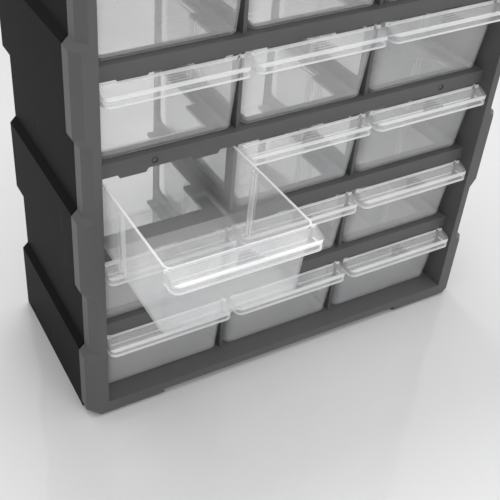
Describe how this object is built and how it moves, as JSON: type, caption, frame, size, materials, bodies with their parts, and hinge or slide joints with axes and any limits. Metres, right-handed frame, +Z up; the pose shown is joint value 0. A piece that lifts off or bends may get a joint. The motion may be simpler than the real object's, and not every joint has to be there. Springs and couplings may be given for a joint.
{
  "type": "parts bin cabinet",
  "caption": "Free-standing parts bin cabinet: black corrugated shell, grey front frame and sliding clear drawers, one pulled out.",
  "frame": {"origin": "on the ground, in the middle of the cabinet's footprint", "axes": "+Z up, +Y towards the back, +X to the right seen from the front"},
  "size_m": [0.382, 0.265, 0.475],
  "materials": {
    "shell_black": "fine moulded texture",
    "frame_grey": "satin",
    "clear_drawer": "clear polished"
  },
  "bodies": {
    "cabinet": {"frame_left": "frame_grey", "frame_right": "frame_grey", "frame_base": "frame_grey", "frame_head": "frame_grey", "shell_left": "shell_black", "shell_right": "shell_black", "shell_top": "shell_black", "shell_base": "shell_black", "liner_left": "frame_grey", "liner_right": "frame_grey", "floor_plate": "frame_grey", "back_rail": "shell_black", "back_sill": "shell_black", "divider_1": "frame_grey", "divider_2": "frame_grey", "shelf_strip_1": "frame_grey", "ledge_1_1": "frame_grey", "ledge_1_2": "frame_grey", "ledge_1_3": "frame_grey", "ledge_1_4": "frame_grey", "shelf_strip_2": "frame_grey", "ledge_2_1": "frame_grey", "ledge_2_2": "frame_grey", "ledge_2_3": "frame_grey", "ledge_2_4": "frame_grey", "shelf_strip_3": "frame_grey", "ledge_3_1": "frame_grey", "ledge_3_2": "frame_grey", "ledge_3_3": "frame_grey", "ledge_3_4": "frame_grey", "shelf_strip_4": "frame_grey", "ledge_4_1": "frame_grey", "ledge_4_2": "frame_grey", "ledge_4_3": "frame_grey", "ledge_4_4": "frame_grey", "shelf_strip_5": "frame_grey", "ledge_5_1": "frame_grey", "ledge_5_2": "frame_grey", "ledge_5_3": "frame_grey", "ledge_5_4": "frame_grey"},
    "drawer_r1_c1_body": {"drawer_r1_c1": "clear_drawer"},
    "drawer_r1_c2_body": {"drawer_r1_c2": "clear_drawer"},
    "drawer_r1_c3_body": {"drawer_r1_c3": "clear_drawer"},
    "drawer_r2_c1_body": {"drawer_r2_c1": "clear_drawer"},
    "drawer_r2_c2_body": {"drawer_r2_c2": "clear_drawer"},
    "drawer_r2_c3_body": {"drawer_r2_c3": "clear_drawer"},
    "drawer_r3_c1_body": {"drawer_r3_c1": "clear_drawer"},
    "drawer_r3_c2_body": {"drawer_r3_c2": "clear_drawer"},
    "drawer_r3_c3_body": {"drawer_r3_c3": "clear_drawer"},
    "drawer_r4_c1_body": {"drawer_r4_c1": "clear_drawer"},
    "drawer_r4_c2_body": {"drawer_r4_c2": "clear_drawer"},
    "drawer_r4_c3_body": {"drawer_r4_c3": "clear_drawer"},
    "drawer_r5_c1_body": {"drawer_r5_c1": "clear_drawer"},
    "drawer_r5_c2_body": {"drawer_r5_c2": "clear_drawer"},
    "drawer_r5_c3_body": {"drawer_r5_c3": "clear_drawer"},
    "drawer_r6_c1_body": {"drawer_r6_c1": "clear_drawer"},
    "drawer_r6_c2_body": {"drawer_r6_c2": "clear_drawer"},
    "drawer_r6_c3_body": {"drawer_r6_c3": "clear_drawer"}
  },
  "joints": [
    {"name": "slide_r1_c1", "type": "slide", "parent": "cabinet", "child": "drawer_r1_c1_body", "axis": [0, -1, 0], "range_m": [0, 0.135]},
    {"name": "slide_r1_c2", "type": "slide", "parent": "cabinet", "child": "drawer_r1_c2_body", "axis": [0, -1, 0], "range_m": [0, 0.135]},
    {"name": "slide_r1_c3", "type": "slide", "parent": "cabinet", "child": "drawer_r1_c3_body", "axis": [0, -1, 0], "range_m": [0, 0.135]},
    {"name": "slide_r2_c1", "type": "slide", "parent": "cabinet", "child": "drawer_r2_c1_body", "axis": [0, -1, 0], "range_m": [0, 0.135]},
    {"name": "slide_r2_c2", "type": "slide", "parent": "cabinet", "child": "drawer_r2_c2_body", "axis": [0, -1, 0], "range_m": [0, 0.135]},
    {"name": "slide_r2_c3", "type": "slide", "parent": "cabinet", "child": "drawer_r2_c3_body", "axis": [0, -1, 0], "range_m": [0, 0.135]},
    {"name": "slide_r3_c1", "type": "slide", "parent": "cabinet", "child": "drawer_r3_c1_body", "axis": [0, -1, 0], "range_m": [-0.103, 0.032]},
    {"name": "slide_r3_c2", "type": "slide", "parent": "cabinet", "child": "drawer_r3_c2_body", "axis": [0, -1, 0], "range_m": [0, 0.135]},
    {"name": "slide_r3_c3", "type": "slide", "parent": "cabinet", "child": "drawer_r3_c3_body", "axis": [0, -1, 0], "range_m": [0, 0.135]},
    {"name": "slide_r4_c1", "type": "slide", "parent": "cabinet", "child": "drawer_r4_c1_body", "axis": [0, -1, 0], "range_m": [0, 0.135]},
    {"name": "slide_r4_c2", "type": "slide", "parent": "cabinet", "child": "drawer_r4_c2_body", "axis": [0, -1, 0], "range_m": [0, 0.135]},
    {"name": "slide_r4_c3", "type": "slide", "parent": "cabinet", "child": "drawer_r4_c3_body", "axis": [0, -1, 0], "range_m": [0, 0.135]},
    {"name": "slide_r5_c1", "type": "slide", "parent": "cabinet", "child": "drawer_r5_c1_body", "axis": [0, -1, 0], "range_m": [0, 0.135]},
    {"name": "slide_r5_c2", "type": "slide", "parent": "cabinet", "child": "drawer_r5_c2_body", "axis": [0, -1, 0], "range_m": [0, 0.135]},
    {"name": "slide_r5_c3", "type": "slide", "parent": "cabinet", "child": "drawer_r5_c3_body", "axis": [0, -1, 0], "range_m": [0, 0.135]},
    {"name": "slide_r6_c1", "type": "slide", "parent": "cabinet", "child": "drawer_r6_c1_body", "axis": [0, -1, 0], "range_m": [0, 0.135]},
    {"name": "slide_r6_c2", "type": "slide", "parent": "cabinet", "child": "drawer_r6_c2_body", "axis": [0, -1, 0], "range_m": [0, 0.135]},
    {"name": "slide_r6_c3", "type": "slide", "parent": "cabinet", "child": "drawer_r6_c3_body", "axis": [0, -1, 0], "range_m": [0, 0.135]}
  ]
}
